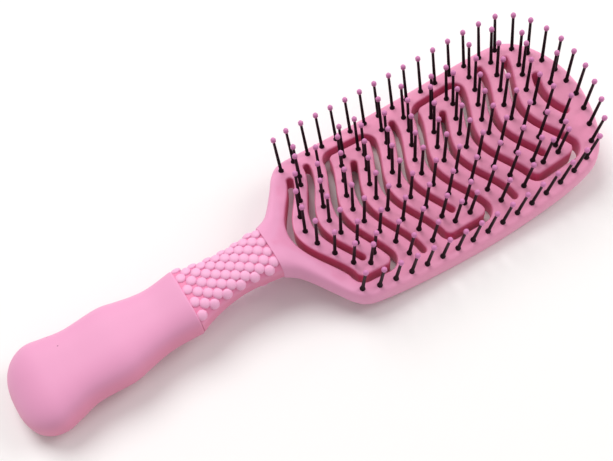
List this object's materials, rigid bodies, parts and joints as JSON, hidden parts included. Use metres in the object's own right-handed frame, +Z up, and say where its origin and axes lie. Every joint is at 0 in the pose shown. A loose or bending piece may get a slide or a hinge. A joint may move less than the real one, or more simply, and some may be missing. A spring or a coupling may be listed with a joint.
{
  "type": "hair grooming brush",
  "caption": "Vented paddle hair brush: a curved head with a winding vent slot, ball-tipped black pins, a textured neck sleeve and a soft waisted handle.",
  "frame": {"origin": "centre of the bounding box in plan, on the surface that the brush lies on", "axes": "+X runs from the handle's end to the tip of the head, +Y across the head to the picture's far side, +Z up out of the pin side"},
  "size_m": [0.242, 0.0738, 0.0396],
  "materials": {
    "soft_pink": "soft-touch matte coating",
    "frame_pink": "satin moulded",
    "black_nylon": "satin moulded nylon"
  },
  "bodies": {
    "root": {"frame": "frame_pink", "front_shell": "soft_pink", "neck_grip": "soft_pink", "handle_grip": "soft_pink", "pin_strip_00": "black_nylon", "pin_strip_01": "black_nylon", "pin_strip_02": "black_nylon", "pin_strip_03": "black_nylon", "pin_strip_04": "black_nylon", "pin_strip_05": "black_nylon", "pin_strip_06": "black_nylon", "pin_strip_07": "black_nylon", "pin_strip_08": "black_nylon", "pin_strip_09": "black_nylon", "pin_strip_10": "black_nylon", "pin_strip_11": "black_nylon", "rim_strip_far": "black_nylon", "rim_strip_near": "black_nylon", "rim_strip_tip": "black_nylon"}
  },
  "joints": []
}
